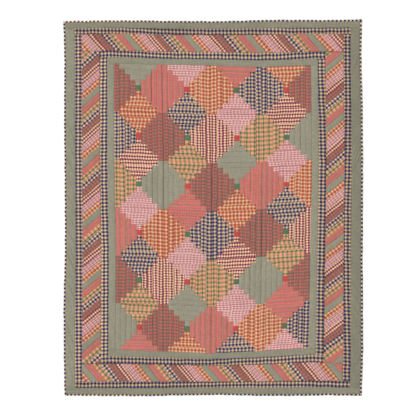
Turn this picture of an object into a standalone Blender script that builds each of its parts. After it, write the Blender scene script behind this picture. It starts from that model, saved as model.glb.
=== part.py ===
"""A patchwork quilt, laid flat and face up.

Four columns and six rows of log cabin blocks make the field. A block is a small centre square with four
rounds of strips, or logs, sewn about it. Five borders frame the field: plain, checked, pieced from slanting
strips, checked, plain. A narrow binding with mitred corners closes the edge. Each block, border strip and
binding strip is its own solid, and each patch on it stands up between its seams. The seams wander from
their ruled places, as they do on a top that was sewn by hand.

Metres, +Z up, +Y towards the head of the quilt. The underside lies flat at z = 0, about the origin.
"""

import math

import bmesh
import bpy
import numpy as np
from mathutils import Vector

MM = 0.001

# The blocks
COLUMNS = 4
ROWS = 6
ROUNDS = 4
CELLS = 2 * ROUNDS + 1
BLOCK_WIDTH = 282.5 * MM
BLOCK_LENGTH = 275.5 * MM
FIELD_X = COLUMNS * BLOCK_WIDTH / 2
FIELD_Y = ROWS * BLOCK_LENGTH / 2

# The borders from the field outwards: name, width at the sides, width at the head and foot
BORDERS = (
    ("inner_plain", 41 * MM, 36 * MM),
    ("inner_check", 42 * MM, 40 * MM),
    ("pieced", 107 * MM, 100 * MM),
    ("outer_check", 40 * MM, 36 * MM),
    ("outer_plain", 56 * MM, 36 * MM),
    ("binding", 10 * MM, 10 * MM),
)
EDGE_X = FIELD_X + sum(side for _, side, _ in BORDERS)
EDGE_Y = FIELD_Y + sum(end for _, _, end in BORDERS)

# The quilted relief: a thin wadding, drawn down to the backing at every seam.
# A patch stands up by PUFF within SLOPE of its seams, and a small patch by as much as its room allows.
SEAM_HEIGHT = 2.6 * MM
PUFF = 2.6 * MM
SLOPE = 7.5 * MM
MOST_OF_ROOM = 0.8
BINDING_ROLL = 2.2 * MM
BINDING_SLOPE = 3.2 * MM
GAP = 0.3 * MM
STRAIGHT = -0.999

# The pieced border, read clockwise: the strips of one repeat, each with its width along the border
BAND_STRIPS = (
    ("rust", 41 * MM),
    ("pink", 53 * MM),
    ("wine", 43 * MM),
    ("brick", 44 * MM),
    ("navy", 41 * MM),
    ("leaf", 41 * MM),
    ("coral", 45 * MM),
    ("plain", 43 * MM),
)
# Each side of that border: where a repeat starts, measured clockwise from its middle, and its stretch
BAND_RUNS = {
    "top": (-472 * MM, 1.0),
    "right": (-863 * MM, 1.0),
    "bottom": (-18 * MM, 1.028),
    "left": (-440 * MM, 1.004),
}
# The strips lean clockwise as they run inwards, and no seam ends closer to a corner than this, but on it
BAND_LEAN = math.radians(40)
LEAST_END = 10 * MM
CLOCKWISE_TURN = {"top": 0.0, "right": -math.pi / 2, "bottom": math.pi, "left": math.pi / 2}

# The cloths of the upright and the level logs, in the order in which they follow each other across a row.
# Each row starts three further on.
UPRIGHT_CLOTHS = ("plain", "brick", "coral", "rust", "navy", "brick", "wine", "leaf")
LEVEL_CLOTHS = ("plain", "pink", "coral", "rust", "navy", "pink", "wine", "leaf")
ROW_STEP = 3

CLOTH_COLOURS = {
    "plain": "#9B9783",
    "coral": "#C4776F",
    "pink": "#D09996",
    "brick": "#A06A5E",
    "navy": "#8D7D76",
    "rust": "#C18065",
    "wine": "#BD8D7E",
    "leaf": "#B38E6C",
    "red": "#C8504B",
    "green": "#56785A",
}
CLOTH_ROUGHNESS = 0.85
BORDER_CLOTHS = {
    "inner_plain": "plain",
    "inner_check": "navy",
    "outer_check": "navy",
    "outer_plain": "plain",
    "binding": "navy",
}

# How far the sewn seams lie from their ruled places, in mm.
# A column for each of: left edge, field left, first, middle and third block seam, field right, right edge.
SHIFT_X = (-EDGE_X, -FIELD_X, -BLOCK_WIDTH, 0.0, BLOCK_WIDTH, FIELD_X, EDGE_X)
# A row for each of: head edge, field top, second and fourth block seam, field bottom, foot edge.
SHIFT_DOWN = (-EDGE_Y, -FIELD_Y, -BLOCK_LENGTH, BLOCK_LENGTH, FIELD_Y, EDGE_Y)
SHIFT_RIGHT_MM = (
    (-6, -12, -17, -17, -12, -4, 3),
    (-2, -8, -14, -12, -5, -1, 0),
    (-1, -6, -5, -7, 0, 6, 6),
    (0, 3, -6, -9, -4, -5, 2),
    (-6, 1, -6, -13, -12, -14, 4),
    (-3, -5, -9, -15, -19, -15, -3),
)
SHIFT_UP_MM = (
    (-2, 3, -3, -3, 4, 5, 6),
    (-1, 10, 1, -3, -12, -2, 1),
    (5, 9, -3, -16, -9, 4, 4),
    (5, 0, -11, -24, -6, 13, -1),
    (-1, 7, -2, -13, 0, 18, 0),
    (0, -3, -1, 4, -1, 0, 0),
)


def clear_scene():
    for thing in list(bpy.data.objects):
        bpy.data.objects.remove(thing, do_unlink=True)


def linear(hex_colour):
    """The linear RGBA of an sRGB hex colour."""
    parts = [int(hex_colour[i : i + 2], 16) / 255 for i in (1, 3, 5)]
    return [c / 12.92 if c <= 0.04045 else ((c + 0.055) / 1.055) ** 2.4 for c in parts] + [1.0]


def make_cloths():
    """One material for each cloth, by its name."""
    cloths = {}
    for name, colour in CLOTH_COLOURS.items():
        material = bpy.data.materials.new(name + "_cotton")
        material.use_nodes = True
        shader = material.node_tree.nodes["Principled BSDF"]
        shader.inputs["Base Color"].default_value = linear(colour)
        shader.inputs["Roughness"].default_value = CLOTH_ROUGHNESS
        shader.inputs["Metallic"].default_value = 0.0
        material.diffuse_color = linear(colour)
        cloths[name] = material
    return cloths


def shift_at(table, x, y):
    """The value of a shift table at ruled points, in metres."""
    rows = np.array([np.interp(x, SHIFT_X, row) for row in table])
    return np.array([np.interp(-down, SHIFT_DOWN, rows[:, i]) for i, down in enumerate(y)]) * MM


def sewn_place(x, y):
    """Where ruled points come to lie on the sewn quilt."""
    return x + shift_at(SHIFT_RIGHT_MM, x, y), y + shift_at(SHIFT_UP_MM, x, y)


def outline_centre():
    """The middle of the sewn quilt's box, which becomes the origin."""
    corners = [(x, -down) for x in SHIFT_X for down in SHIFT_DOWN]
    x, y = sewn_place(*np.array(corners).T)
    return (x.min() + x.max()) / 2, (y.min() + y.max()) / 2


def ruled_sheet(left, right, bottom, top):
    """A flat rectangle at the seams' height, drawn in by half of the gap to its neighbours."""
    bm = bmesh.new()
    bmesh.ops.create_grid(bm, x_segments=1, y_segments=1, size=0.5)
    size = Vector((right - left - GAP, top - bottom - GAP, 1.0))
    bmesh.ops.scale(bm, vec=size, verts=bm.verts)
    middle = Vector(((left + right) / 2, (bottom + top) / 2, SEAM_HEIGHT))
    bmesh.ops.translate(bm, vec=middle, verts=bm.verts)
    return bm


def cut(bm, x, y, normal_x, normal_y, trim=False):
    """Cuts the sheet along an upright plane. A trim also drops what lies past it."""
    bmesh.ops.bisect_plane(
        bm,
        geom=bm.verts[:] + bm.edges[:] + bm.faces[:],
        dist=0.0 if trim else GAP,
        plane_co=(x, y, 0.0),
        plane_no=(normal_x, normal_y, 0.0),
        clear_outer=trim,
    )


def cut_at_shifts(bm):
    """Cuts the solid where the shift tables have their rows and columns, so that it can bend there."""
    for x in SHIFT_X[1:-1]:
        cut(bm, x, 0.0, 1.0, 0.0)
    for down in SHIFT_DOWN[1:-1]:
        cut(bm, 0.0, -down, 0.0, 1.0)


def is_straight(vertex):
    """Whether a point does no more than divide a straight edge."""
    if len(vertex.link_edges) != 2:
        return False
    ways = [(edge.other_vert(vertex).co - vertex.co).normalized() for edge in vertex.link_edges]
    return ways[0].dot(ways[1]) < STRAIGHT


def join_cells(bm, patch_at):
    """Dissolves the cuts that are no seams, which leaves one face for each patch."""
    middle = {face: face.calc_center_median() for face in bm.faces}
    patch = {face: patch_at(place.x, place.y) for face, place in middle.items()}
    inside = [e for e in bm.edges if len(e.link_faces) == 2 and len({patch[f] for f in e.link_faces}) == 1]
    bmesh.ops.dissolve_edges(bm, edges=inside, use_verts=False)
    bmesh.ops.dissolve_verts(bm, verts=[vertex for vertex in bm.verts if is_straight(vertex)])


def room_inside(face):
    """How far a patch's edges can move inwards before the first of them is used up."""
    room = []
    for loop in face.loops:
        angles = (loop.calc_angle(), loop.link_loop_next.calc_angle())
        lost = sum(1 / math.tan(angle / 2) for angle in angles)
        if lost > 0:
            room.append(loop.edge.calc_length() / lost)
    return min(room)


def raise_patches(bm, slope, puff):
    """Lifts the inside of every patch above its seams, less where a patch is small."""
    for face in bm.faces[:]:
        share = min(1.0, MOST_OF_ROOM * room_inside(face) / slope)
        bmesh.ops.inset_individual(
            bm, faces=[face], thickness=slope * share, depth=puff * share, use_even_offset=True
        )


def close_underside(bm):
    """Takes the outline straight down to the surface and closes it there."""
    rim = [edge for edge in bm.edges if edge.is_boundary]
    wall = bmesh.ops.extrude_edge_only(bm, edges=rim)["geom"]
    for vertex in wall:
        if isinstance(vertex, bmesh.types.BMVert):
            vertex.co.z = 0.0
    foot = [edge for edge in wall if isinstance(edge, bmesh.types.BMEdge) and edge.is_boundary]
    bmesh.ops.contextual_create(bm, geom=foot)
    bmesh.ops.recalc_face_normals(bm, faces=bm.faces)


def sew(bm, centre):
    """Moves every point from its ruled place to its sewn one, about the quilt's centre."""
    ruled = np.array([vertex.co[:2] for vertex in bm.verts])
    x, y = sewn_place(ruled[:, 0], ruled[:, 1])
    for vertex, new_x, new_y in zip(bm.verts, x - centre[0], y - centre[1]):
        vertex.co.x = new_x
        vertex.co.y = new_y


def finish_piece(name, bm, patch_at, quilt, slope=SLOPE, puff=PUFF):
    """Makes the named solid from a cut sheet. patch_at gives a place's patch, whose last word is its cloth."""
    join_cells(bm, patch_at)
    names = []
    for face in bm.faces:
        place = face.calc_center_median()
        cloth = patch_at(place.x, place.y)[-1]
        if cloth not in names:
            names.append(cloth)
        face.material_index = names.index(cloth)
    raise_patches(bm, slope, puff)
    close_underside(bm)
    cut_at_shifts(bm)
    sew(bm, quilt["centre"])
    mesh = bpy.data.meshes.new(name)
    bm.to_mesh(mesh)
    bm.free()
    for cloth in names:
        mesh.materials.append(quilt["cloths"][cloth])
    quilt["collection"].objects.link(bpy.data.objects.new(name, mesh))


def log_of_cell(across, up):
    """The round and the side of the log that covers a cell, counted from the block's centre cell."""
    ring = max(abs(across), abs(up))
    if ring == 0:
        return 0, "centre"
    if abs(across) == ring:
        return ring, "left" if across < 0 else "right"
    return ring, "bottom" if up < 0 else "top"


def log_cloth(row, column, side):
    """The cloth of a block's logs on one side. A neighbour's logs on that side share it."""
    if side == "centre":
        return "red" if (row + column) % 2 else "green"
    if side in ("left", "right"):
        place = 1 + ROW_STEP * row + column + (side == "right")
        return UPRIGHT_CLOTHS[place % len(UPRIGHT_CLOTHS)]
    place = ROW_STEP * (row + (side == "bottom")) + column
    return LEVEL_CLOTHS[place % len(LEVEL_CLOTHS)]


def make_block(row, column, quilt):
    """A log cabin block, counted from the top left."""
    left = -FIELD_X + column * BLOCK_WIDTH
    top = FIELD_Y - row * BLOCK_LENGTH
    cell_width = BLOCK_WIDTH / CELLS
    cell_length = BLOCK_LENGTH / CELLS
    bm = ruled_sheet(left, left + BLOCK_WIDTH, top - BLOCK_LENGTH, top)
    for line in range(1, CELLS):
        cut(bm, left + line * cell_width, 0.0, 1.0, 0.0)
        cut(bm, 0.0, top - line * cell_length, 0.0, 1.0)

    def patch_at(x, y):
        across = math.floor((x - left) / cell_width) - ROUNDS
        up = ROUNDS - math.floor((top - y) / cell_length)
        ring, side = log_of_cell(across, up)
        return ring, side, log_cloth(row, column, side)

    finish_piece(f"block_r{row + 1}_c{column + 1}", bm, patch_at, quilt)


def clear_of_corners(start, half_run, lean_run):
    """Moves a seam that would only just miss a corner of the border onto that corner."""
    for crossing in (start, start + lean_run):
        for end in (-half_run, half_run):
            if abs(end - crossing) < LEAST_END:
                return start + end - crossing
    return start


def band_seams(side, half_run, lean_run):
    """The seams of one side of the pieced border: each its place on the outer edge and the cloth after it."""
    start, stretch = BAND_RUNS[side]
    repeat = stretch * sum(width for _, width in BAND_STRIPS)
    start -= math.ceil((start + half_run + lean_run) / repeat) * repeat
    seams = []
    while start < half_run:
        for cloth, width in BAND_STRIPS:
            seams.append((clear_of_corners(start, half_run, lean_run), cloth))
            start += width * stretch
    return seams


def make_pieced_strip(side, box, quilt):
    """One side of the pieced border: slanting strips, cut off at its edges."""
    left, right, bottom, top = box
    run, depth = (right - left, top - bottom) if side in ("top", "bottom") else (top - bottom, right - left)
    outer = {"top": top, "right": right, "bottom": -bottom, "left": -left}[side]
    turn = CLOCKWISE_TURN[side]
    clockwise = Vector((math.cos(turn), math.sin(turn)))
    outward = Vector((-math.sin(turn), math.cos(turn)))
    lean = math.tan(BAND_LEAN)
    seams = band_seams(side, run / 2, depth * lean)

    bm = ruled_sheet(*box)
    normal = (clockwise + outward * lean).normalized()
    for start, _ in seams:
        crossing = clockwise * start + outward * outer
        cut(bm, crossing.x, crossing.y, normal.x, normal.y)

    def patch_at(x, y):
        place = Vector((x, y))
        distance = place.dot(clockwise) - (outer - place.dot(outward)) * lean
        return [seam for seam in seams if seam[0] <= distance][-1]

    finish_piece(f"pieced_{side}", bm, patch_at, quilt)


def make_border_strip(name, side, box, quilt):
    """One side of a border of a single cloth."""
    bm = ruled_sheet(*box)
    finish_piece(f"{name}_{side}", bm, lambda x, y: (BORDER_CLOTHS[name],), quilt)


def make_binding_strip(side, box, quilt):
    """One side of the binding, mitred at both ends."""
    bm = ruled_sheet(*box)
    for end in (-1, 1):
        across, up = {"top": (end, 1), "bottom": (end, -1), "left": (-1, end), "right": (1, end)}[side]
        normal = Vector((across, -up) if side in ("top", "bottom") else (-across, up)).normalized()
        corner = Vector((across * EDGE_X, up * EDGE_Y)) - normal * GAP / 2
        cut(bm, corner.x, corner.y, normal.x, normal.y, trim=True)
    cloth = BORDER_CLOTHS["binding"]
    finish_piece(f"binding_{side}", bm, lambda x, y: (cloth,), quilt, BINDING_SLOPE, BINDING_ROLL)


def make_borders(quilt):
    """The borders and the binding. Head and foot strips run full width, and the side strips butt between."""
    inner_x, inner_y = FIELD_X, FIELD_Y
    for name, side_width, end_width in BORDERS:
        outer_x = inner_x + side_width
        outer_y = inner_y + end_width
        side_end = outer_y if name == "binding" else inner_y
        boxes = {
            "top": (-outer_x, outer_x, inner_y, outer_y),
            "bottom": (-outer_x, outer_x, -outer_y, -inner_y),
            "left": (-outer_x, -inner_x, -side_end, side_end),
            "right": (inner_x, outer_x, -side_end, side_end),
        }
        for side, box in boxes.items():
            if name == "pieced":
                make_pieced_strip(side, box, quilt)
            elif name == "binding":
                make_binding_strip(side, box, quilt)
            else:
                make_border_strip(name, side, box, quilt)
        inner_x, inner_y = outer_x, outer_y


def main():
    clear_scene()
    collection = bpy.data.collections.new("patchwork_quilt")
    bpy.context.scene.collection.children.link(collection)
    quilt = {"collection": collection, "cloths": make_cloths(), "centre": outline_centre()}
    for row in range(ROWS):
        for column in range(COLUMNS):
            make_block(row, column, quilt)
    make_borders(quilt)


main()
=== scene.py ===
"""The looks of a log cabin quilt lying flat: yarn-dyed cottons, puffed patches and puckered seams."""

import math

import bmesh
import bpy
import numpy as np
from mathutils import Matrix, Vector


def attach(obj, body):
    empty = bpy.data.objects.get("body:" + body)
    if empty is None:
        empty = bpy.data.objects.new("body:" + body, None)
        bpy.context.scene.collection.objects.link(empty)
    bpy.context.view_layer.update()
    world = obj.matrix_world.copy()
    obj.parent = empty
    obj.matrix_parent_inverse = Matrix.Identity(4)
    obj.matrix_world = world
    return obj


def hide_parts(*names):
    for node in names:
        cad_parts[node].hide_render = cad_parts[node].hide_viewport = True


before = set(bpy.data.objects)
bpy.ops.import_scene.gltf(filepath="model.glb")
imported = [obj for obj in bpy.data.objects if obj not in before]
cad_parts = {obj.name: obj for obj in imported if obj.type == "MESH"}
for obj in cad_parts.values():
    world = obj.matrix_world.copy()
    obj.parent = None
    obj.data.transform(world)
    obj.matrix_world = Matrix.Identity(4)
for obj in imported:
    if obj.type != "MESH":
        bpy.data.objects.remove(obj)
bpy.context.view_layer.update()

MM = 0.001

# The layout, as in the part's source
COLUMNS = 4
ROWS = 6
ROUNDS = 4
CELLS = 2 * ROUNDS + 1
BLOCK_WIDTH = 282.5 * MM
BLOCK_LENGTH = 275.5 * MM
CELL_WIDTH = BLOCK_WIDTH / CELLS
CELL_LENGTH = BLOCK_LENGTH / CELLS
FIELD_X = COLUMNS * BLOCK_WIDTH / 2
FIELD_Y = ROWS * BLOCK_LENGTH / 2
# Each border from the inside out: its name, its width at the sides and its width at head and foot
BORDERS = (
    ("inner_plain", 41 * MM, 36 * MM),
    ("inner_check", 42 * MM, 40 * MM),
    ("pieced", 107 * MM, 100 * MM),
    ("outer_check", 40 * MM, 36 * MM),
    ("outer_plain", 56 * MM, 36 * MM),
    ("binding", 10 * MM, 10 * MM),
)
EDGE_X = FIELD_X + sum(side for _, side, _ in BORDERS)
EDGE_Y = FIELD_Y + sum(end for _, _, end in BORDERS)

# The pieced border, read clockwise: the strips of one repeat, each with its width along the border
BAND_STRIPS = (
    ("rust", 41 * MM),
    ("pink", 53 * MM),
    ("wine", 43 * MM),
    ("brick", 44 * MM),
    ("navy", 41 * MM),
    ("leaf", 41 * MM),
    ("coral", 45 * MM),
    ("plain", 43 * MM),
)
# How light each cloth is drawn there, under its slanting seams: painted light and shade
BAND_LIGHT_AND_SHADE = {
    "rust": 0.97,
    "pink": 0.89,
    "wine": 0.9,
    "brick": 0.93,
    "navy": 1.06,
    "leaf": 0.96,
    "coral": 0.93,
    "plain": 0.91,
}
# Each side of that border: where a repeat starts, measured clockwise from its middle, and its stretch
BAND_RUNS = {
    "top": (-472 * MM, 1.0),
    "right": (-863 * MM, 1.0),
    "bottom": (-18 * MM, 1.028),
    "left": (-440 * MM, 1.004),
}
BAND_LEAN = math.radians(40)
# A seam that would come nearer than this to a corner runs into it
LEAST_END = 10 * MM
CLOCKWISE_TURN = {"top": 0.0, "right": -math.pi / 2, "bottom": math.pi, "left": math.pi / 2}

# The cloths in the order in which they follow from block to block, and how much further on each row starts
UPRIGHT_CLOTHS = ("plain", "brick", "coral", "rust", "navy", "brick", "wine", "leaf")
LEVEL_CLOTHS = ("plain", "pink", "coral", "rust", "navy", "pink", "wine", "leaf")
ROW_STEP = 3

# How far the sewn seams lie from their ruled places, in mm, as in the part's source
SHIFT_X = (-EDGE_X, -FIELD_X, -BLOCK_WIDTH, 0.0, BLOCK_WIDTH, FIELD_X, EDGE_X)
SHIFT_DOWN = (-EDGE_Y, -FIELD_Y, -BLOCK_LENGTH, BLOCK_LENGTH, FIELD_Y, EDGE_Y)
SHIFT_RIGHT_MM = (
    (-6, -12, -17, -17, -12, -4, 3),
    (-2, -8, -14, -12, -5, -1, 0),
    (-1, -6, -5, -7, 0, 6, 6),
    (0, 3, -6, -9, -4, -5, 2),
    (-6, 1, -6, -13, -12, -14, 4),
    (-3, -5, -9, -15, -19, -15, -3),
)
SHIFT_UP_MM = (
    (-2, 3, -3, -3, 4, 5, 6),
    (-1, 10, 1, -3, -12, -2, 1),
    (5, 9, -3, -16, -9, 4, 4),
    (5, 0, -11, -24, -6, 13, -1),
    (-1, 7, -2, -13, 0, 18, 0),
    (0, -3, -1, 4, -1, 0, 0),
)

# The quilted relief: the height of the seams, of the patches over them and of the rolled binding
SEAM_HEIGHT = 2.7 * MM
PUFF = 2.1 * MM
SLOPE = 8.5 * MM
BINDING_ROLL = 2.6 * MM
# The gathers at a seam: their height, where they are full and how far they reach
PUCKER = 0.85 * MM
PUCKER_START = 2.5 * MM
PUCKER_REACH = 8 * MM
# Each wave of the gathers, as (wavelength in mm, share of their height), and how it comes and goes
GATHERS = ((13.7, 0.8), (22.0, 1.0), (41.0, 0.6))
GATHER_DRIFT = 0.25
GATHER_DRIFT_LENGTH = 63 * MM
# How far a seam's painted shade, its pull on the cloth and the painted shadow of a quilted ditch reach
SEAM_SHADE = 1.1 * MM
DRAWN_REACH = 11 * MM
DRAWN_EDGE = 1.5
DITCH_SHADOW_REACH = 2.1 * MM
# How firmly the palest seam holds the cloth down
LEAST_HOLD = 0.5
# How dark the painted shade at the seams lies, from the palest to the darkest. Upright seams, lit across
# from the left, get more of it
UPRIGHT_SEAMS = (0.1, 0.7)
LEVEL_SEAMS = (0.0, 0.3)
BAND_EDGE = 0.6
LONG_EDGE = 0.5
SHORT_EDGE = 0.1
BINDING_SEAM = 0.8

# The mesh
GRID_STEP = 4.3 * MM
LOG_STEP = 5.4 * MM
CREASE_STEP = 2.8 * MM
SEAM_LINES = (1.0 * MM, 2.6 * MM, 5.0 * MM)
BINDING_LINES = 9
MERGE = 0.01 * MM
SHARP_ANGLE = math.radians(42)
# Steps from a piece's edge to its flat underside, as (how far in, how high)
SEWN_UNDERSIDE = ((0.0, 0.7 * MM), (3.0 * MM, 0.0))
ROLLED_UNDERSIDE = ((0.0, 1.3 * MM), (0.8 * MM, 0.45 * MM), (2.4 * MM, 0.0))

# How unevenly patches were cut: how far their grain turns and their cloth slips, and how their tones differ
LOG_SKEW = math.radians(0.6)
LOG_SLIP = 9 * MM
STRIP_SKEW = math.radians(1.0)
STRIP_SLIP = 6 * MM
SLIP_ALONG = 100 * MM
TONE_SPREAD = 0.018

# What keeps the seams of one piece from looking like those of another
BLOCK_SEED = 40.0
LEVEL_SEED = 20
BAND_SEED = 1000.0
BAND_EDGE_SEED = 70
BORDER_SEED = 5000.0
BINDING_SEED = 9000.0

WEAVE_MAP = "weave"
# Each patch's tone, which also carries the painted light and shade of the borders
TONE_AND_SHADE = "tone_and_shade"
# The painted shade beside each seam, from 0 to 1; the walls and the underside get all of it
PAINTED_SEAM_SHADE = "seam"
DRAWN = "drawn"
# The painted shadow in a quilted ditch
DITCH_SHADOW = "ditch_shadow"


def shift_at(table, x, y):
    """The value of a shift table at ruled points, in metres."""
    rows = np.array([np.interp(x, SHIFT_X, row) for row in table])
    down = np.clip(-y, SHIFT_DOWN[0], SHIFT_DOWN[-1])
    above = np.clip(np.searchsorted(SHIFT_DOWN, down) - 1, 0, len(SHIFT_DOWN) - 2)
    share = (down - np.take(SHIFT_DOWN, above)) / np.diff(SHIFT_DOWN)[above]
    each = np.arange(len(x))
    return (rows[above, each] * (1 - share) + rows[above + 1, each] * share) * MM


def outline_centre():
    """The middle of the sewn quilt's box, which is the origin."""
    x, down = np.meshgrid(SHIFT_X, SHIFT_DOWN)
    x, y = x.ravel(), -down.ravel()
    sewn_x = x + shift_at(SHIFT_RIGHT_MM, x, y)
    sewn_y = y + shift_at(SHIFT_UP_MM, x, y)
    return (sewn_x.min() + sewn_x.max()) / 2, (sewn_y.min() + sewn_y.max()) / 2


CENTRE = outline_centre()


def wave(along, length, start):
    """A sine of a wavelength in metres."""
    return np.sin(2 * math.pi * (along / length + start))


# Slow waves, each as (height in mm, share of x, share of y, wavelength in metres, start)
DRIFT_RIGHT = ((0.6, 0.0, 1.0, 0.083, 0.1), (0.45, 0.4, 1.0, 0.137, 0.6), (0.3, 1.0, 0.0, 0.071, 0.3))
DRIFT_UP = ((0.6, 1.0, 0.0, 0.091, 0.8), (0.45, 1.0, -0.5, 0.149, 0.2), (0.3, 0.0, 1.0, 0.067, 0.5))
SWELLS = ((0.35, 1.0, 0.3, 0.31, 0.2), (0.3, -0.2, 1.0, 0.27, 0.7))
CROSSED_SWELL = 0.25


def slow_waves(table, x, y):
    """The sum of a table's waves at given points, in mm."""
    total = 0.0
    for height, share_x, share_y, length, start in table:
        total = total + height * wave(share_x * x + share_y * y, length, start)
    return total


def hand_drift(x, y):
    """How far hand sewing lets the seams wander, about a millimetre either way."""
    return slow_waves(DRIFT_RIGHT, x, y) * MM, slow_waves(DRIFT_UP, x, y) * MM


# How far the outer edge lies outside its sewn place, in mm, at stations from the head to the foot
# and from the left to the right
EDGE_REACH = 60 * MM
SIDE_STATIONS = np.arange(1050, -1051, -150) * MM
END_STATIONS = np.arange(-825, 826, 150) * MM
EDGE_WAVES_MM = {
    "left": (-1, -3, -2, -1, -0.5, -2, -3, -3.5, -4, -3, 0, 1, -2.5, -3.5, -4),
    "right": (-4.5, -6, -3, -0.5, -1.5, -2, -1.5, -1, 0.5, -1, 0.5, 0, 0, 0.5, -1),
    "top": (-1.5, -2.5, -2.5, 1, -0.5, -0.5, -3, -3, -1, -2, -3.5, -0.5),
    "bottom": (0, 0, 0, 2, -1, 1, -1, 0, 0.5, 1, -2, 0.5),
}


def edge_wave(x, y):
    """How far the outer edge's waves move points to the right and up."""
    sides = np.where(
        x > 0,
        np.interp(-y, -SIDE_STATIONS, EDGE_WAVES_MM["right"]),
        -np.interp(-y, -SIDE_STATIONS, EDGE_WAVES_MM["left"]),
    )
    ends = np.where(
        y > 0,
        np.interp(x, END_STATIONS, EDGE_WAVES_MM["top"]),
        -np.interp(x, END_STATIONS, EDGE_WAVES_MM["bottom"]),
    )
    near_side = np.exp(-(((EDGE_X - abs(x)) / EDGE_REACH) ** 2))
    near_end = np.exp(-(((EDGE_Y - abs(y)) / EDGE_REACH) ** 2))
    return sides * near_side * MM, ends * near_end * MM


def sewn_place(x, y):
    """Where ruled points come to lie on the sewn quilt."""
    right, up = np.add(hand_drift(x, y), edge_wave(x, y))
    sewn_x = x + shift_at(SHIFT_RIGHT_MM, x, y) + right - CENTRE[0]
    sewn_y = y + shift_at(SHIFT_UP_MM, x, y) + up - CENTRE[1]
    return sewn_x, sewn_y


def scattered(seed, turn):
    """Numbers from 0 to 1 without order, the same ones each time."""
    return np.mod(np.sin(seed * 12.9898 + turn * 78.233) * 43758.5453, 1.0)


def roll_off(distance, slope):
    """The round rise of a patch from its seam: 0 at the seam and 1 from the slope's end on."""
    share = np.clip(distance / slope, 0.0, 1.0)
    return np.sqrt(1 - (1 - share) ** 2)


def ripple(along, seed):
    """The uneven gathers that a seam's thread draws into the cloth."""
    total = 0.0
    for turn, (length, height) in enumerate(GATHERS):
        start = scattered(seed, turn)
        slow = GATHER_DRIFT * wave(along, GATHER_DRIFT_LENGTH, scattered(seed, turn + 7))
        total = total + height * wave(along + slow * length * MM, length * MM, start)
    return total


def relief(edges, slope=SLOPE, puff=PUFF):
    """The cloth's height over its seams, and how near it is to a seam's painted shade, its pull and the
    painted shadow of a quilted ditch.

    Each edge is the points' distance from one seam, their place along it, its seed, its depth, which sets
    its painted shade, and how firmly it holds the cloth down, from 0 to 1. What a depth is over 1 sets a
    ditch's painted shadow.
    """
    rise = 1.0
    gathers = 0.0
    dark = 0.0
    drawn = 0.0
    ditch_shadow = 0.0
    for distance, along, seed, depth, hold in edges:
        distance = np.maximum(distance, 0.0)
        rise = rise * (1 - hold * (1 - roll_off(distance, slope)))
        reach = np.exp(-((distance / PUCKER_REACH) ** 2)) * roll_off(distance, PUCKER_START)
        gathers = gathers + hold * reach * ripple(along, seed)
        dark = np.maximum(dark, np.minimum(depth, 1.0) * np.exp(-distance / SEAM_SHADE))
        drawn = np.maximum(drawn, hold * np.exp(-((distance / DRAWN_REACH) ** DRAWN_EDGE)))
        ditch_shadow = np.maximum(ditch_shadow, np.clip(depth - 1, 0, 1) * np.exp(-((distance / DITCH_SHADOW_REACH) ** 2)))
    return rise * (puff + PUCKER * gathers), {PAINTED_SEAM_SHADE: dark, DRAWN: drawn, DITCH_SHADOW: ditch_shadow}


def seam_depth(seed, least, most):
    """How dark a seam's painted shade is and how deep the seam is drawn, from one seam to the next."""
    return least + (most - least) * scattered(seed, 3.0)


def lines_between(start, end, step=GRID_STEP):
    """Grid lines from one seam to the next, closer together beside the seams."""
    near = np.array(SEAM_LINES) * min(1.0, (end - start) / (3 * SEAM_LINES[-1]))
    inner = max(1, round((end - start - 2 * near[-1]) / step))
    middle = np.linspace(start + near[-1], end - near[-1], inner + 1)
    return np.concatenate([[start], start + near[:-1], middle, end - near[-2::-1], [end]])


def lines_through(stops, step=GRID_STEP):
    """Grid lines through a row of seams."""
    parts = [lines_between(start, end, step)[:-1] for start, end in zip(stops, stops[1:])]
    return np.append(np.concatenate(parts), stops[-1])


def flat_grid(lines_across, lines_up, place):
    """A flat grid on the given lines. place gives the ruled x and y of a crossing."""
    bm = bmesh.new()
    across = len(lines_across) - 1
    up = len(lines_up) - 1
    bmesh.ops.create_grid(bm, x_segments=across, y_segments=up, size=0.5)
    for vertex in bm.verts:
        column = round((vertex.co.x + 0.5) * across)
        row = round((vertex.co.y + 0.5) * up)
        vertex.co.xy = place(lines_across[column], lines_up[row])
    return bm


def trim(bm, point, normal):
    """Cuts off what lies past an upright plane."""
    bmesh.ops.bisect_plane(
        bm,
        geom=bm.verts[:] + bm.edges[:] + bm.faces[:],
        dist=MERGE,
        plane_co=(*point, 0.0),
        plane_no=(*normal, 0.0),
        clear_outer=True,
    )


def close_underside(bm, steps, drawn_in):
    """Closes the sheet below. drawn_in gives a point's place when the outline is drawn in that far."""
    rim = [edge for edge in bm.edges if edge.is_boundary]
    below = []
    for inset, height in steps:
        ring = bmesh.ops.extrude_edge_only(bm, edges=rim)["geom"]
        rim = [thing for thing in ring if isinstance(thing, bmesh.types.BMEdge) and thing.is_boundary]
        verts = [thing for thing in ring if isinstance(thing, bmesh.types.BMVert)]
        for vertex in verts:
            vertex.co = (*drawn_in(vertex.co.x, vertex.co.y, inset), height)
        below += verts
    bmesh.ops.contextual_create(bm, geom=rim)
    bmesh.ops.remove_doubles(bm, verts=below, dist=MERGE)
    bmesh.ops.recalc_face_normals(bm, faces=bm.faces)


def patch_maps(patches, rng):
    """For each patch: its middle, the cosine and sine of its grain, its shifts and its tone, with any
    painted light and shade.
    """
    rows = []
    for patch in patches:
        grain = patch["grain"] + rng.normal(0.0, patch["skew"])
        along = rng.uniform(-SLIP_ALONG, SLIP_ALONG)
        across = rng.uniform(-1.0, 1.0) * patch["slip"]
        tone_and_shade = patch["tone_and_shade"] * (1.0 + rng.normal(0.0, TONE_SPREAD))
        rows.append((*patch["middle"], math.cos(grain), math.sin(grain), along, across, tone_and_shade))
    return np.array(rows)


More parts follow.
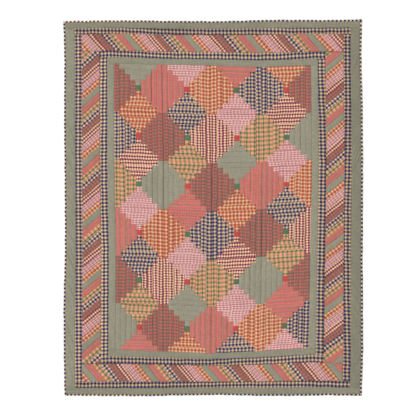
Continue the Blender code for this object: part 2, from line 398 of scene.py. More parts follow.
def weave_places(x, y, rows):
    """Where points lie on their cloths: along the grain and across it, in metres."""
    right = x - rows[:, 0]
    up = y - rows[:, 1]
    along = right * rows[:, 2] + up * rows[:, 3] + rows[:, 4]
    across = up * rows[:, 2] - right * rows[:, 3] + rows[:, 5]
    return along, across


def read_values(items, name, kind=float, size=1):
    """One value of each item of a mesh, or a row of values."""
    values = np.zeros(len(items) * size, kind)
    items.foreach_get(name, values)
    return values if size == 1 else values.reshape(-1, size)


def lay_weave(mesh, shape, places, rows, patch, is_backing):
    """Gives each corner its place on its cloth, as the UV map. The backing's cloth lies straight."""
    corners = read_values(mesh.loops, "vertex_index", int)
    counts = read_values(mesh.polygons, "loop_total", int)
    x, y = places[corners, 0], places[corners, 1]
    along, across = weave_places(x, y, rows[np.repeat(patch, counts)])
    if "row_shift" in shape:
        across += shape["row_shift"](x, y)
    backing = np.repeat(is_backing, counts)
    uv = np.stack([np.where(backing, x, along), np.where(backing, y, across)], axis=1)
    layer = mesh.uv_layers.new(name=WEAVE_MAP)
    layer.uv.foreach_set("vector", uv.ravel().astype(np.float32))


def finish_piece(node, bm, top, shape, cloths, number):
    """Makes the visual piece for a CAD node from its flat closed mesh, whose first points are its face."""
    mesh = bpy.data.meshes.new("sewn_" + node)
    bm.to_mesh(mesh)
    bm.free()
    places = read_values(mesh.vertices, "co", size=3)
    face_x, face_y = places[:top, 0], places[:top, 1]
    height, marks = shape["relief"](face_x, face_y)
    places[:top, 2] = SEAM_HEIGHT + height + lie(face_x, face_y)

    corners = read_values(mesh.loops, "vertex_index", int)
    is_backing = np.minimum.reduceat(corners, read_values(mesh.polygons, "loop_start", int)) >= top
    middles = read_values(mesh.polygons, "center", size=3)
    patch = shape["patch"](middles[:, 0], middles[:, 1])
    rows = patch_maps(shape["patches"], np.random.default_rng(number))
    lay_weave(mesh, shape, places, rows, patch, is_backing)

    names = sorted({item["cloth"] for item in shape["patches"]}) + ["backing"]
    cloth_of_patch = np.array([names.index(item["cloth"]) for item in shape["patches"]])
    index = np.where(is_backing, len(names) - 1, cloth_of_patch[patch])
    mesh.polygons.foreach_set("material_index", index.astype(np.int32))
    tone_and_shade = mesh.attributes.new(TONE_AND_SHADE, "FLOAT", "FACE")
    tone_and_shade.data.foreach_set("value", np.where(is_backing, 1.0, rows[patch, 6]).astype(np.float32))
    for name, values in marks.items():
        mark = mesh.attributes.new(name, "FLOAT", "POINT")
        # Below the face, the walls and the underside get the full painted seam shade
        below = np.full(len(places) - top, 1.0 if name == PAINTED_SEAM_SHADE else 0.0)
        mark.data.foreach_set("value", np.append(values, below).astype(np.float32))

    places[:, 0], places[:, 1] = sewn_place(places[:, 0].copy(), places[:, 1].copy())
    mesh.vertices.foreach_set("co", places.ravel())
    for name in names:
        mesh.materials.append(cloths[name])
    mesh.update()
    mesh.shade_smooth()
    mesh.set_sharp_from_angle(angle=SHARP_ANGLE)

    piece = bpy.data.objects.new("sewn_" + node, mesh)
    bpy.context.scene.collection.objects.link(piece)
    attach(piece, "root")
    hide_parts(node)


# The main creases: where each starts and ends, its half width and its height, in mm.
# The plain side borders ripple on the slant, one way at the left and mostly the other way at the right.
CREASES_MM = (
    (-852, 640, -800, 530, 5, 1.1),
    (-850, 497, -800, 381, 5, 1.8),
    (-850, 393, -804, 290, 4, 1.4),
    (-852, 290, -800, 176, 5, 1.8),
    (-850, 182, -804, 84, 4, 1.6),
    (-852, 75, -800, -23, 5, 2.1),
    (-850, -23, -804, -119, 4, 1.7),
    (-854, -127, -798, -225, 6, 2.7),
    (-850, -202, -804, -300, 4, 1.9),
    (-852, -272, -800, -370, 6, 2.5),
    (-850, -345, -806, -440, 4, 1.7),
    (-852, -416, -800, -532, 5, 2.2),
    (-850, -520, -806, -610, 4, 1.5),
    (-852, -647, -802, -803, 5, 2.0),
    (-848, -760, -804, -900, 5, 1.6),
    (-850, -880, -806, -1000, 5, 1.3),
    (850, 900, 802, 790, 9, 1.7),
    (850, 420, 802, 300, 5, 2.0),
    (848, 372, 802, 256, 5, 2.1),
    (848, 322, 802, 208, 5, 1.9),
    (846, 64, 804, 46, 5, 1.4),
    (846, 12, 806, -10, 5, 1.3),
    (846, -81, 806, -140, 5, 1.3),
    (802, -440, 848, -512, 5, 2.1),
    (804, -500, 848, -575, 5, 1.6),
    (802, -566, 846, -636, 5, 1.7),
    (846, -676, 806, -684, 5, 1.8),
    (846, -716, 806, -728, 5, 1.7),
    (846, -764, 806, -776, 5, 1.6),
    (848, -840, 804, -930, 6, 1.5),
    (-520, 1066, -470, 1044, 5, 1.1),
    (180, 1046, 240, 1068, 6, 1.3),
    (-300, -1046, -240, -1068, 6, 1.3),
    (330, -1068, 400, -1044, 5, 1.3),
)
# Each crease is a ridge with a trough at its right. It is full over its middle and fades towards its ends.
# The trough lies this many half widths beside the ridge.
CREASE_TROUGH = 0.7
TROUGH_PLACE = 1.5
FULL_CREASE = 0.25
CREASE_FADE = 0.2


def lie(x, y):
    """How far the quilt stands off its ruled height: soft swells, and the main creases."""
    height = slow_waves(SWELLS, x, y)
    height += CROSSED_SWELL * wave(x - 0.6 * y, 0.19, 0.4) * wave(y, 0.43, 0.1)
    for start_x, start_y, end_x, end_y, width, rise in CREASES_MM:
        run_x, run_y = end_x - start_x, end_y - start_y
        length = math.hypot(run_x, run_y)
        right = x / MM - start_x
        up = y / MM - start_y
        along = (right * run_x + up * run_y) / length
        beside = (right * run_y - up * run_x) / length * (1 if run_y > 0 else -1)
        past = np.maximum(abs(along - length / 2) - length * FULL_CREASE, 0.0)
        ridge = np.exp(-((beside / width) ** 2))
        ridge -= CREASE_TROUGH * np.exp(-((beside / width - TROUGH_PLACE) ** 2))
        height += rise * ridge * np.exp(-((past / (length * CREASE_FADE)) ** 2))
    return height * MM


# Upright seams quilted in the ditch: each its block's row and column, its line, counted in cells from the
# block's left edge, and its depth, whose part over 1 sets the painted shadow in the ditch
QUILTED_LINES = (
    (0, 1, 0, 1.7),
    (1, 1, 0, 1.8),
    (2, 1, 0, 2.0),
    (2, 2, 0, 1.9),
    (3, 2, 0, 1.6),
    (4, 2, 0, 1.3),
    (5, 2, 0, 1.3),
    (0, 0, 7, 1.7),
    (1, 2, 8, 1.8),
    (2, 0, 7, 1.4),
    (3, 3, 0, 1.8),
    (4, 3, 0, 1.4),
    (4, 2, 7, 1.5),
    (1, 3, 7, 1.4),
)


def block_shape(row, column):
    """The patches and the relief of a log cabin block."""
    left = -FIELD_X + column * BLOCK_WIDTH
    bottom = FIELD_Y - (row + 1) * BLOCK_LENGTH
    seed = BLOCK_SEED * (row * COLUMNS + column)

    def cell_of(x, y):
        """The round of a point's log, and its side: left, right, bottom or top."""
        across = np.clip(np.floor((x - left) / CELL_WIDTH), 0, CELLS - 1) - ROUNDS
        up = np.clip(np.floor((y - bottom) / CELL_LENGTH), 0, CELLS - 1) - ROUNDS
        ring = np.maximum(abs(across), abs(up))
        upright = abs(across) == ring
        side = np.where(upright, np.where(across < 0, 0, 1), np.where(up < 0, 2, 3))
        return ring.astype(int), np.where(ring == 0, 0, side)

    def patch_of(x, y):
        ring, side = cell_of(x, y)
        return np.where(ring == 0, 0, 4 * (ring - 1) + side + 1)

    def log_box(ring, side):
        """The seams round a log, counted in cells from the block's left and bottom."""
        far = np.where((side == 1) | (side == 3), ROUNDS + ring, ROUNDS - ring)
        upright = side < 2
        x0 = np.where(upright, far, ROUNDS - ring + 1)
        x1 = np.where(upright, far + 1, ROUNDS + ring)
        y0 = np.where(upright, ROUNDS - ring, far)
        y1 = np.where(upright, ROUNDS + ring + 1, far + 1)
        return x0, x1, y0, y1

    def upright_seam(distance, along, line):
        """The edge that an upright seam makes. The block's own edges hold the cloth firmly."""
        depth = seam_depth(seed + line, *UPRIGHT_SEAMS)
        for quilted_row, quilted_column, quilted_line, quilted_depth in QUILTED_LINES:
            if quilted_row == row:
                place = quilted_column * CELLS + quilted_line
                depth = np.where(column * CELLS + line == place, quilted_depth, depth)
        hold = np.where((line == 0) | (line == CELLS), 1.0, np.clip(LEAST_HOLD + depth, 0.0, 1.0))
        return distance, along, seed + line, depth, hold

    def level_seam(distance, along, line):
        """The edge that a level seam makes."""
        depth = seam_depth(seed + LEVEL_SEED + line, *LEVEL_SEAMS)
        hold = np.where((line == 0) | (line == CELLS), 1.0, LEAST_HOLD + depth)
        return distance, along, seed + LEVEL_SEED + line, depth, hold

    def relief_of(x, y):
        x0, x1, y0, y1 = log_box(*cell_of(x, y))
        edges = (
            upright_seam(x - left - x0 * CELL_WIDTH, y, x0),
            upright_seam(left + x1 * CELL_WIDTH - x, y, x1),
            level_seam(y - bottom - y0 * CELL_LENGTH, x, y0),
            level_seam(bottom + y1 * CELL_LENGTH - y, x, y1),
        )
        return relief(edges)

    patches = []
    for number in range(4 * ROUNDS + 1):
        ring = (number + 3) // 4
        side = 0 if number == 0 else (number - 1) % 4
        x0, x1, y0, y1 = (float(line) for line in log_box(ring, side))
        name = ("left", "right", "bottom", "top")[side] if ring else "centre"
        patches.append(
            {
                "cloth": log_cloth(row, column, name),
                "middle": (left + (x0 + x1) / 2 * CELL_WIDTH, bottom + (y0 + y1) / 2 * CELL_LENGTH),
                "grain": math.pi / 2 if side < 2 else 0.0,
                "skew": LOG_SKEW,
                "slip": LOG_SLIP,
                "tone_and_shade": 1.0,
            }
        )
    return {
        "patches": patches,
        "patch": patch_of,
        "relief": relief_of,
        "slot": "patchwork_cotton",
        "flat": (BLOCK_WIDTH, BLOCK_LENGTH),
    }


def log_cloth(row, column, side):
    """The cloth of a block's logs on one side. A neighbour's logs on that side share it."""
    if side == "centre":
        return "red" if (row + column) % 2 else "green"
    if side in ("left", "right"):
        place = 1 + ROW_STEP * row + column + (side == "right")
        return UPRIGHT_CLOTHS[place % len(UPRIGHT_CLOTHS)]
    place = ROW_STEP * (row + (side == "bottom")) + column
    return LEVEL_CLOTHS[place % len(LEVEL_CLOTHS)]


def inside_box(left, right, bottom, top):
    """A function that draws points in to a box."""

    def drawn_in(x, y, inset):
        return (
            min(max(x, left + inset), right - inset),
            min(max(y, bottom + inset), top - inset),
        )

    return drawn_in


def make_block(row, column, cloths, number):
    """A log cabin block."""
    left = -FIELD_X + column * BLOCK_WIDTH
    bottom = FIELD_Y - (row + 1) * BLOCK_LENGTH
    lines_across = lines_through(left + CELL_WIDTH * np.arange(CELLS + 1), LOG_STEP)
    lines_up = lines_through(bottom + CELL_LENGTH * np.arange(CELLS + 1), LOG_STEP)
    bm = flat_grid(lines_across, lines_up, lambda x, y: (x, y))
    top = len(bm.verts)
    box = inside_box(left, left + BLOCK_WIDTH, bottom, bottom + BLOCK_LENGTH)
    close_underside(bm, SEWN_UNDERSIDE, box)
    finish_piece(f"block_r{row + 1}_c{column + 1}", bm, top, block_shape(row, column), cloths, number)


def clear_of_corners(start, half_run, lean_run):
    """Moves a seam that would only just miss a corner of the border onto that corner."""
    for crossing in (start, start + lean_run):
        for end in (-half_run, half_run):
            if abs(end - crossing) < LEAST_END:
                return start + end - crossing
    return start


def band_seams(side, half_run, lean_run):
    """The seams of a side of the pieced border: each its place on the outer edge and the cloth after it."""
    start, stretch = BAND_RUNS[side]
    repeat = stretch * sum(width for _, width in BAND_STRIPS)
    start -= math.ceil((start + half_run + lean_run) / repeat) * repeat
    seams = []
    while start < half_run:
        for cloth, width in BAND_STRIPS:
            seams.append((clear_of_corners(start, half_run, lean_run), cloth))
            start += width * stretch
    return seams


def make_pieced_strip(side, box, cloths, number):
    """One side of the pieced border: slanting strips, cut off at its edges."""
    left, right, bottom, top = box
    level = side in ("top", "bottom")
    run, depth = (right - left, top - bottom) if level else (top - bottom, right - left)
    outer = {"top": top, "right": right, "bottom": -bottom, "left": -left}[side]
    turn = CLOCKWISE_TURN[side]
    clockwise = Vector((math.cos(turn), math.sin(turn)))
    outward = Vector((-math.sin(turn), math.cos(turn)))
    lean = math.tan(BAND_LEAN)
    seams = [seam for seam in band_seams(side, run / 2, depth * lean) if seam[0] < run / 2]
    while seams[1][0] < -run / 2 - depth * lean:
        seams.pop(0)
    starts = np.array([start for start, _ in seams])
    ends = np.append(starts[1:], max(run / 2, starts[-1] + LEAST_END))
    seed = BAND_SEED + 100 * number

    def place(start, deep):
        """The point on a slanting line that starts at a place on the outer edge."""
        point = clockwise * (start + deep * lean) + outward * (outer - deep)
        return point.x, point.y

    bm = flat_grid(lines_through(np.append(starts, ends[-1])), lines_between(0.0, depth), place)
    for end in (-1, 1):
        trim(bm, clockwise * end * run / 2, clockwise * end)
    face = len(bm.verts)
    close_underside(bm, SEWN_UNDERSIDE, inside_box(*box))

    def band_place(x, y):
        """How far points lie round the border and into it, and where their slanting line starts."""
        around = x * clockwise.x + y * clockwise.y
        deep = outer - x * outward.x - y * outward.y
        return around, deep, around - deep * lean

    def patch_of(x, y):
        reached = np.searchsorted(starts, band_place(x, y)[2], side="right")
        return np.clip(reached - 1, 0, len(starts) - 1)

    def relief_of(x, y):
        around, deep, start = band_place(x, y)
        patch = patch_of(x, y)
        slant = math.cos(BAND_LEAN)
        along = deep / slant
        edge_seed = seed + BAND_EDGE_SEED
        edges = [
            (deep, around, edge_seed, BAND_EDGE, 1.0),
            (depth - deep, around, edge_seed + 1, BAND_EDGE, 1.0),
            (around + run / 2, deep, edge_seed + 2, BAND_EDGE, 1.0),
            (run / 2 - around, deep, edge_seed + 3, BAND_EDGE, 1.0),
        ]
        for line, distance in ((patch, start - starts[patch]), (patch + 1, ends[patch] - start)):
            dark = seam_depth(line, *UPRIGHT_SEAMS)
            hold = np.clip(LEAST_HOLD + dark, 0.0, 1.0)
            edges.append((distance * slant, along, seed + line, dark, hold))
        return relief(edges)

    patches = []
    for start, end, (_, cloth) in zip(starts, ends, seams):
        middle = place((start + end) / 2, depth / 2)
        way = outward - clockwise * lean
        patches.append(
            {
                "cloth": cloth,
                "middle": middle,
                "grain": math.atan2(way.y, way.x),
                "skew": STRIP_SKEW,
                "slip": STRIP_SLIP,
                "tone_and_shade": BAND_LIGHT_AND_SHADE[cloth],
            }
        )
    shape = {
        "patches": patches,
        "patch": patch_of,
        "relief": relief_of,
        "slot": "patchwork_cotton",
        "flat": (run, depth),
    }
    finish_piece(f"pieced_{side}", bm, face, shape, cloths, number)


# Each border's cloth, its slot, and how light its cloth is drawn on each side of the quilt: painted light
# and shade, lighter at the left, towards the lamp, and darker at the right
BORDER_LOOKS = {
    "inner_plain": ("plain", "plain_cotton", {"top": 0.96, "right": 0.97, "bottom": 0.86, "left": 1.0}),
    "inner_check": ("check", "check_cotton", {"top": 1.0, "right": 0.92, "bottom": 0.92, "left": 1.12}),
    "outer_check": ("check", "check_cotton", {"top": 0.84, "right": 0.84, "bottom": 0.89, "left": 1.1}),
    "outer_plain": ("plain", "plain_cotton", {"top": 0.84, "right": 0.74, "bottom": 0.85, "left": 0.97}),
    "binding": ("piping", "binding_cotton", {"top": 1.0, "right": 0.88, "bottom": 0.87, "left": 1.02}),
}


# Where a check's rows lie on a strip: how far the first dark row is from the strip's outer edge, in mm,
# at stations from one end to the other, clockwise. The cloth was cut a little off its grain.
ROW_STATIONS = (-0.9, -0.6, -0.3, 0.0, 0.3, 0.6, 0.9)
CHECK_ROWS_MM = {
    "inner_check_top": (6, 10, 16, 16, 15, 14, 7),
    "inner_check_right": (20, 10, 6, 5, 6, 8, 7),
    "inner_check_bottom": (23, 19, 19, 11, 6, 5, 6),
    "inner_check_left": (17, 16, 16, 11, 11, 15, 19),
    "outer_check_top": (-8, -2, 7, 12, 13, 22, 21),
    "outer_check_right": (7, 7, 13, 20, 18, 13, 6),
    "outer_check_bottom": (7, 14, 17, 12, 8, 5, 2),
    "outer_check_left": (13, 9, 6, 5, 5, 8, 9),
    "binding_top": (13, 13, 6, 9, 5, 6, 5),
    "binding_right": (12, 11, 10, 6, 5, 5, 8),
    "binding_bottom": (5, 6, 5, 7, 6, 12, 10),
    "binding_left": (5, 5, 8, 7, 7, 6, 6),
}


def check_rows(name, side, box):
    """How far a strip's check lies across it, so that its dark rows come where the table says."""
    left, right, bottom, top = box
    level = side in ("top", "bottom")
    width = top - bottom if level else right - left
    half_run = (right - left) / 2 if level else (top - bottom) / 2
    forward = 1 if side in ("top", "left") else -1
    rows = np.array(CHECK_ROWS_MM[f"{name}_{side}"]) * MM

    def row_shift(x, y):
        clockwise = forward * (x if level else y) / half_run
        return forward * (np.interp(clockwise, ROW_STATIONS, rows) - width / 2)

    return row_shift


def border_shape(name, side, box, number):
    """The cloth and the relief of one side of a border of a single cloth."""
    left, right, bottom, top = box
    level = side in ("top", "bottom")
    cloth, slot, side_shades = BORDER_LOOKS[name]
    seed = BORDER_SEED + 10 * number

    def relief_of(x, y):
        sides, ends = (SHORT_EDGE, LONG_EDGE) if level else (LONG_EDGE, SHORT_EDGE)
        edges = (
            (y - bottom, x, seed, ends, 1.0),
            (top - y, x, seed + 1, ends, 1.0),
            (x - left, y, seed + 2, sides, 1.0),
            (right - x, y, seed + 3, sides, 1.0),
        )
        return relief(edges)

    patch = {
        "cloth": cloth,
        "middle": ((left + right) / 2, (bottom + top) / 2),
        "grain": 0.0 if level else math.pi / 2,
        "skew": 0.0,
        "slip": 0.0,
        # The side's painted light and shade
        "tone_and_shade": side_shades[side],
    }
    shape = {
        "patches": [patch],
        "patch": lambda x, y: np.zeros(len(x), int),
        "relief": relief_of,
        "slot": slot,
        "flat": (right - left, top - bottom),
    }
    if f"{name}_{side}" in CHECK_ROWS_MM:
        shape["row_shift"] = check_rows(name, side, box)
    return shape


def make_border_strip(name, side, box, cloths, number):
    """One side of a border of a single cloth."""
    left, right, bottom, top = box
    step = CREASE_STEP if name == "outer_plain" and side in ("left", "right") else GRID_STEP
    lines_across = lines_between(left, right, step)
    bm = flat_grid(lines_across, lines_between(bottom, top, step), lambda x, y: (x, y))
    face = len(bm.verts)
    close_underside(bm, SEWN_UNDERSIDE, inside_box(*box))
    shape = border_shape(name, side, box, number)
    finish_piece(f"{name}_{side}", bm, face, shape, cloths, number)


def make_binding_strip(side, box, cloths, number):
    """One side of the binding: a cloth rolled over the quilt's edge, mitred at both ends."""
    left, right, bottom, top = box
    level = side in ("top", "bottom")
    width = BORDERS[-1][1]
    half_run = EDGE_X if level else EDGE_Y
    outer = EDGE_Y if level else EDGE_X
    sign = 1 if side in ("top", "right") else -1

    def place(around, deep):
        """A point of the binding, whose ends are mitred."""
        run = around / half_run * (half_run - deep)
        across = sign * (outer - deep)
        return (run, across) if level else (across, run)

    run_lines = lines_between(-half_run, half_run)
    bm = flat_grid(run_lines, np.linspace(0.0, width, BINDING_LINES), place)
    face = len(bm.verts)

    def drawn_in(x, y, inset):
        """A point of the outline drawn in by an inset, within the mitres."""
        around, across = (x, y) if level else (y, x)
        deep = min(max(outer - sign * across, inset), width - inset)
        most = half_run - deep
        around = min(max(around, -most), most)
        across = sign * (outer - deep)
        return (around, across) if level else (across, around)

    close_underside(bm, ROLLED_UNDERSIDE, drawn_in)
    shape = border_shape("binding", side, box, number)
    seed = BINDING_SEED + 10 * number

    def relief_of(x, y):
        around, across = (x, y) if level else (y, x)
        deep = outer - sign * across
        edges = (
            (deep, around, seed, 0.0, 1.0),
            (width - deep, around, seed + 1, BINDING_SEAM, 1.0),
        )
        return relief(edges, slope=width / 2, puff=BINDING_ROLL)

    shape["relief"] = relief_of
    shape["flat"] = (2 * half_run, width) if level else (width, 2 * half_run)
    finish_piece(f"binding_{side}", bm, face, shape, cloths, number)


def make_borders(cloths):
    """The borders and the binding. Head and foot run full width, and the side strips butt between."""
    inner_x, inner_y = FIELD_X, FIELD_Y
    number = ROWS * COLUMNS
    for name, side_width, end_width in BORDERS:
        outer_x = inner_x + side_width
        outer_y = inner_y + end_width
        side_end = outer_y if name == "binding" else inner_y
        boxes = {
            "top": (-outer_x, outer_x, inner_y, outer_y),
            "bottom": (-outer_x, outer_x, -outer_y, -inner_y),
            "left": (-outer_x, -inner_x, -side_end, side_end),
            "right": (inner_x, outer_x, -side_end, side_end),
        }
        for side, box in boxes.items():
            number += 1
            if name == "pieced":
                make_pieced_strip(side, box, cloths, number)
            elif name == "binding":
                make_binding_strip(side, box, cloths, number)
            else:
                make_border_strip(name, side, box, cloths, number)
        inner_x, inner_y = outer_x, outer_y


# The cloths. Each has two yarns either way, as (colour, mm): half of a stripe, then half of the ground
# beside it. "lines" lie along the strip and "bars" cross it. "bar_share" is how much of the bars' yarn
# shows, and "seam" how dark the painted shade beside a seam lies on the cloth.
CLOTHS = {
    "navy": {
        "lines": (("#1B2257", 5.3), ("#D9B78A", 4.7)),
        "bars": (("#1B2257", 5.6), ("#D9B78A", 4.8)),
        "bar_share": 0.5,
        "seam": 0.4,
    },
    # The same check in another dye lot, for the borders
    "check": {
        "lines": (("#1B2252", 5.9), ("#D9B786", 5.1)),
        "bars": (("#1B2252", 5.6), ("#D9B786", 4.8)),
        "bar_share": 0.5,
        "seam": 0.4,
    },
    # The same check cut the other way, at the binding, where its crosswise yarns tell more
    "piping": {
        "lines": (("#232A5A", 5.9), ("#E4C69C", 5.1)),
        "bars": (("#14194A", 6.0), ("#FFE3BA", 5.6)),
        "bar_share": 0.76,
        "seam": 0.3,
    },
    "rust": {
        "lines": (("#A94935", 6.0), ("#DDBB92", 4.4)),
        "bars": (("#A94935", 6.0), ("#DDBB92", 4.4)),
        "bar_share": 0.5,
        "seam": 0.5,
    },
    "wine": {
        "lines": (("#751943", 5.0), ("#F0D4A2", 4.4)),
        "bars": (("#751943", 4.0), ("#F0D4A2", 3.4)),
        "bar_share": 0.41,
        "seam": 0.45,
    },
    "leaf": {
        "lines": (("#446A4A", 4.4), ("#E29C77", 8.4)),
        "bars": (("#446A4A", 5.9), ("#E29C77", 6.9)),
        "bar_share": 0.45,
        "seam": 0.5,
    },
    "brick": {
        "lines": (("#696153", 4.6), ("#BC6059", 4.6)),
        "bars": (("#696153", 4.8), ("#BC6059", 4.7)),
        "bar_share": 0.56,
        "seam": 0.5,
    },
    "coral": {
        "lines": (("#A07565", 4.9), ("#D86A66", 4.3)),
        "bars": (("#A07565", 3.3), ("#D86A66", 3.3)),
        "bar_share": 0.3,
        "seam": 0.25,
    },
    "pink": {
        "lines": (("#B36B73", 3.0), ("#DFBAB0", 3.0)),
        "bars": (("#B36B73", 4.9), ("#DFBAB0", 4.8)),
        "bar_share": 0.4,
        "seam": 0.4,
    },
    "plain": {
        "lines": (("#918D7A", 1.0), ("#8D8B78", 1.0)),
        "bars": (("#958F7B", 1.0), ("#8F8D7B", 1.0)),
        "bar_share": 0.5,
        "seam": 0.06,
    },
    "red": {
        "lines": (("#B64040", 2.5), ("#C05046", 2.5)),
        "bars": (("#B64040", 2.5), ("#C05046", 2.5)),
        "bar_share": 0.5,
        "seam": 0.5,
    },
    "green": {
        "lines": (("#4A6A4E", 2.5), ("#5E7658", 2.5)),
        "bars": (("#4A6A4E", 2.5), ("#5E7658", 2.5)),
        "bar_share": 0.5,
        "seam": 0.5,
    },
    "backing": {
        "lines": (("#8E8A78", 1.0), ("#8A8774", 1.0)),
        "bars": (("#918D7A", 1.0), ("#8B8875", 1.0)),
        "bar_share": 0.5,
        "seam": 0.2,
    },
}

# The real yarns lie about 0.4 mm apart; they are drawn three times as coarse, so that they show
YARN = 1.3 * MM
YARN_CONTRAST = 0.3
THREAD_HEIGHT = 0.3 * MM
THREAD_STRENGTH = 0.6
# How far the grain bends, and how often in a metre
BEND = 3 * MM
BENDS_PER_METRE = 14.0
# Thick and thin yarns: how often they change along and across, what range their noise has, how far they
# lighten or darken the cloth, and how they stand out of it
SLUBS_ALONG = 14.0
SLUBS_ACROSS = 130.0
SLUB_RANGE = (0.6, 1.4)
SLUB = 0.2
SLUB_RISE = 0.8
# Patches of the quilt that have faded more than others
FADES_PER_METRE = 7.0
FADE_RANGE = (0.3, 0.7)
FADE = 0.05
# How dark the painted shadow in a quilted ditch lies
DITCH_SHADOW_DARKNESS = 0.62
DISPLAY_GAMMA = 2.2
# Small wrinkles run across the strips from their seams
WRINKLES_PER_METRE = (120.0, 42.0, 1.0)
WRINKLE_BEND = 0.4
WRINKLE_HEIGHT = 2.2 * MM
LEAST_WRINKLE = 0.3
# Cotton is matt, with a faint bloom of loose fibres
ROUGHNESS = (0.82, 0.94)
COTTON_FINISH = {"Specular IOR Level": 0.25, "Sheen Weight": 0.08, "Sheen Roughness": 0.5}


def linear(hex_colour):
    """The linear RGBA of an sRGB hex colour."""
    parts = [int(hex_colour[i : i + 2], 16) / 255 for i in (1, 3, 5)]
    return [c / 12.92 if c <= 0.04045 else ((c + 0.055) / 1.055) ** 2.4 for c in parts] + [1.0]


def add_node(tree, kind, inputs=None, **settings):
    """Adds a node with its settings, and sets or links its inputs by name or number."""
    made = tree.nodes.new(kind)
    for name, value in settings.items():
        setattr(made, name, value)
    for key, value in (inputs or {}).items():
        if isinstance(value, bpy.types.NodeSocket):
            tree.links.new(value, made.inputs[key])
        else:
            made.inputs[key].default_value = value
    return made


def compute(tree, operation, *values):
    """What a math node makes of numbers or sockets."""
    return add_node(tree, "ShaderNodeMath", dict(enumerate(values)), operation=operation).outputs[0]


def compute_vector(tree, operation, *values):
    """What a vector math node makes of vectors or sockets."""
    made = add_node(tree, "ShaderNodeVectorMath", dict(enumerate(values)), operation=operation)
    return made.outputs[0]


def read_mark(tree, name):
    """One of the mesh's own marks."""
    return add_node(tree, "ShaderNodeAttribute", attribute_name=name).outputs["Fac"]


def spread(tree, value, source, target, clamp):
    """A value brought from one range to another."""
    inputs = {"Value": value, 1: source[0], 2: source[1], 3: target[0], 4: target[1]}
    return add_node(tree, "ShaderNodeMapRange", inputs, clamp=clamp).outputs[0]


def noise(tree, place, scale, detail, distortion=0.0):
    """Noise without direction."""
    inputs = {"Vector": place, "Scale": scale, "Detail": detail, "Distortion": distortion}
    return add_node(tree, "ShaderNodeTexNoise", inputs)


def bent_place(tree, place):
    """A place on the cloth, bent a little, because sewing pulls the grain out of line."""
    bend = noise(tree, place, BENDS_PER_METRE, 1.0).outputs["Color"]
    offset = compute_vector(tree, "SUBTRACT", bend, (0.5, 0.5, 0.5))
    return compute_vector(tree, "ADD", place, compute_vector(tree, "MULTIPLY", offset, (BEND, BEND, BEND)))


def yarn_stripes(tree, place, stripe, ground):
    """The colour of the yarn at a place across the stripes, which repeat as in a mirror."""
    width = stripe[1] + ground[1]
    back_and_forth = compute(tree, "PINGPONG", place, width * MM)
    share = compute(tree, "DIVIDE", back_and_forth, width * MM)
    ramp = add_node(tree, "ShaderNodeValToRGB", {"Fac": share})
    ramp.color_ramp.interpolation = "CONSTANT"
    first, second = ramp.color_ramp.elements
    first.position = 0.0
    first.color = linear(stripe[0])
    second.position = stripe[1] / width
    second.color = linear(ground[0])
    return ramp.outputs["Color"]


def crossings(tree, along, across, bar_share):
    """How much of the crosswise yarn shows at each crossing, and how high the yarns stand."""
    turns = []
    for way in (along, across):
        turns.append(compute(tree, "SINE", compute(tree, "MULTIPLY", way, math.pi / YARN)))
    over = compute(tree, "MULTIPLY", *turns)
    mask = compute(tree, "MULTIPLY_ADD", over, YARN_CONTRAST, bar_share)
    rounds = [compute(tree, "ABSOLUTE", turn) for turn in turns]
    inputs = {0: mask, 2: rounds[1], 3: rounds[0]}
    return mask, add_node(tree, "ShaderNodeMix", inputs, data_type="FLOAT").outputs[0]


def woven_colour(tree, warp, weft, mask):
    """Both yarns mixed as the eye weighs them: where two colours cross, the darker one tells more."""
    seen = []
    for yarn in (warp, weft):
        seen.append(add_node(tree, "ShaderNodeGamma", {0: yarn, 1: 1 / DISPLAY_GAMMA}).outputs[0])
    mixed = add_node(tree, "ShaderNodeMix", {0: mask, 6: seen[0], 7: seen[1]}, data_type="RGBA")
    return add_node(tree, "ShaderNodeGamma", {0: mixed.outputs[2], 1: DISPLAY_GAMMA}).outputs[0]


def slubs_at(tree, place):
    """Thick and thin yarns: streaks along the cloth and across it."""
    streaks = []
    for stretch in ((SLUBS_ALONG, SLUBS_ACROSS, 1.0), (SLUBS_ACROSS, SLUBS_ALONG, 1.0)):
        stretched = compute_vector(tree, "MULTIPLY", place, stretch)
        streaks.append(noise(tree, stretched, 1.0, 2.0).outputs[0])
    return compute(tree, "ADD", *streaks)


def painted_shade_factor(tree, mark, most):
    """What a mark of painted shade multiplies the colour by: 1 where there is none."""
    return compute(tree, "MULTIPLY_ADD", read_mark(tree, mark), -most, 1.0)


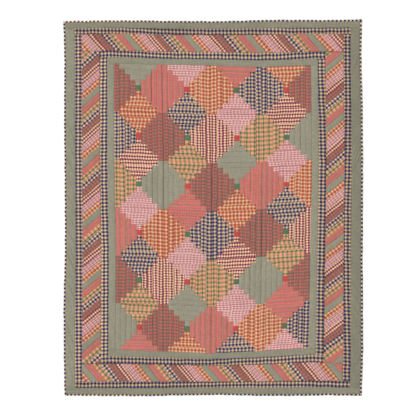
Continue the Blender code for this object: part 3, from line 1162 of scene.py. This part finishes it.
def yarn_dyed_cotton(name, cloth):
    """Plain-woven cotton, dyed in the yarn: matt, with slubs, and each crossing shows one of its yarns."""
    material = bpy.data.materials.new(name)
    material.use_nodes = True
    tree = material.node_tree
    shader = tree.nodes["Principled BSDF"]

    place = add_node(tree, "ShaderNodeUVMap", uv_map=WEAVE_MAP).outputs[0]
    bent = bent_place(tree, place)
    parts = add_node(tree, "ShaderNodeSeparateXYZ", {0: bent})
    along, across = parts.outputs[0], parts.outputs[1]
    warp = yarn_stripes(tree, across, *cloth["lines"])
    weft = yarn_stripes(tree, along, *cloth["bars"])
    mask, threads = crossings(tree, along, across, cloth["bar_share"])
    woven = woven_colour(tree, warp, weft, mask)
    slub = slubs_at(tree, bent)

    on_quilt = add_node(tree, "ShaderNodeTexCoord").outputs["Object"]
    faded = noise(tree, on_quilt, FADES_PER_METRE, 3.0).outputs[0]
    factors = (
        spread(tree, faded, FADE_RANGE, (1 - FADE, 1 + FADE), False),
        # Each patch's tone, with the painted light and shade of the border sides and of the pieced border's
        # cloths
        read_mark(tree, TONE_AND_SHADE),
        # Painted shade beside the seams darkens the colour
        painted_shade_factor(tree, PAINTED_SEAM_SHADE, cloth["seam"]),
        # Painted shadow in the quilted ditches darkens the colour
        painted_shade_factor(tree, DITCH_SHADOW, DITCH_SHADOW_DARKNESS),
    )
    level = spread(tree, slub, SLUB_RANGE, (1 - SLUB, 1 + SLUB), False)
    for factor in factors:
        level = compute(tree, "MULTIPLY", level, factor)
    colour = add_node(tree, "ShaderNodeVectorMath", {0: woven, "Scale": level}, operation="SCALE")
    tree.links.new(colour.outputs[0], shader.inputs["Base Color"])

    stretched = compute_vector(tree, "MULTIPLY", place, WRINKLES_PER_METRE)
    wrinkles = noise(tree, stretched, 1.0, 1.5, WRINKLE_BEND).outputs[0]
    pull = spread(tree, read_mark(tree, DRAWN), (0.0, 1.0), (LEAST_WRINKLE, 1.0), True)
    crumple = compute(tree, "MULTIPLY", wrinkles, pull)
    inputs = {"Height": crumple, "Strength": 1.0, "Distance": WRINKLE_HEIGHT}
    folds = add_node(tree, "ShaderNodeBump", inputs).outputs[0]
    height = compute(tree, "MULTIPLY_ADD", slub, SLUB_RISE, threads)
    inputs = {"Height": height, "Strength": THREAD_STRENGTH, "Distance": THREAD_HEIGHT, "Normal": folds}
    bump = add_node(tree, "ShaderNodeBump", inputs).outputs[0]
    tree.links.new(bump, shader.inputs["Normal"])
    tree.links.new(spread(tree, slub, SLUB_RANGE, ROUGHNESS, True), shader.inputs["Roughness"])
    for setting, value in COTTON_FINISH.items():
        shader.inputs[setting].default_value = value
    return material


def make_cloths():
    """One material for each cloth, by its name."""
    return {name: yarn_dyed_cotton(name + "_cotton", cloth) for name, cloth in CLOTHS.items()}


# The photo's frame: how much of the floor it shows, and its middle
PHOTO_SIDE = 416
PIXEL = 5.78 * MM
QUILT_MIDDLE_PIXEL = (213.2, 208.0)
LENS = 100.0
SENSOR_WIDTH = 36.0
FLOOR_DROP = 0.5 * MM
FLOOR_SIZE = 60.0
FLOOR_WHITE = 0.93
FLOOR_ROUGHNESS = 0.9
ROOM_LIGHT = 0.55
# A large soft lamp, low enough at the left to shade the seams
SUN_STRENGTH = 2.22
SUN_ANGLE = math.radians(18)
TOWARDS_SUN = (-0.62, 0.12, 0.85)


def make_stage():
    """A plain pale floor, soft light from the left, and a camera straight above."""
    bpy.ops.object.select_all(action="DESELECT")
    bpy.ops.mesh.primitive_plane_add(size=FLOOR_SIZE, location=(0.0, 0.0, -FLOOR_DROP))
    floor = bpy.context.object
    floor.name = "floor"
    paint = bpy.data.materials.new("matt_floor_paint")
    paint.use_nodes = True
    shader = paint.node_tree.nodes["Principled BSDF"]
    shader.inputs["Base Color"].default_value = (FLOOR_WHITE, FLOOR_WHITE, FLOOR_WHITE, 1.0)
    shader.inputs["Roughness"].default_value = FLOOR_ROUGHNESS
    floor.data.materials.append(paint)

    world = bpy.data.worlds.new("studio")
    bpy.context.scene.world = world
    world.use_nodes = True
    background = world.node_tree.nodes["Background"]
    background.inputs["Color"].default_value = (1.0, 1.0, 1.0, 1.0)
    background.inputs["Strength"].default_value = ROOM_LIGHT
    sun = bpy.data.lights.new("softbox", "SUN")
    sun.energy = SUN_STRENGTH
    sun.angle = SUN_ANGLE
    lamp = bpy.data.objects.new("softbox", sun)
    lamp.rotation_euler = Vector(TOWARDS_SUN).to_track_quat("Z", "Y").to_euler()
    bpy.context.scene.collection.objects.link(lamp)

    camera = bpy.data.cameras.new("camera")
    camera.lens = LENS
    camera.sensor_width = SENSOR_WIDTH
    side = PHOTO_SIDE * PIXEL
    right, down = (PHOTO_SIDE / 2 - middle for middle in QUILT_MIDDLE_PIXEL)
    holder = bpy.data.objects.new("camera", camera)
    holder.location = (
        right * PIXEL - CENTRE[0],
        -down * PIXEL - CENTRE[1],
        side * LENS / SENSOR_WIDTH,
    )
    bpy.context.scene.collection.objects.link(holder)
    bpy.context.scene.camera = holder
    bpy.context.scene.view_settings.view_transform = "Standard"


cloths = make_cloths()
for row in range(ROWS):
    for column in range(COLUMNS):
        make_block(row, column, cloths, row * COLUMNS + column)
make_borders(cloths)
make_stage()
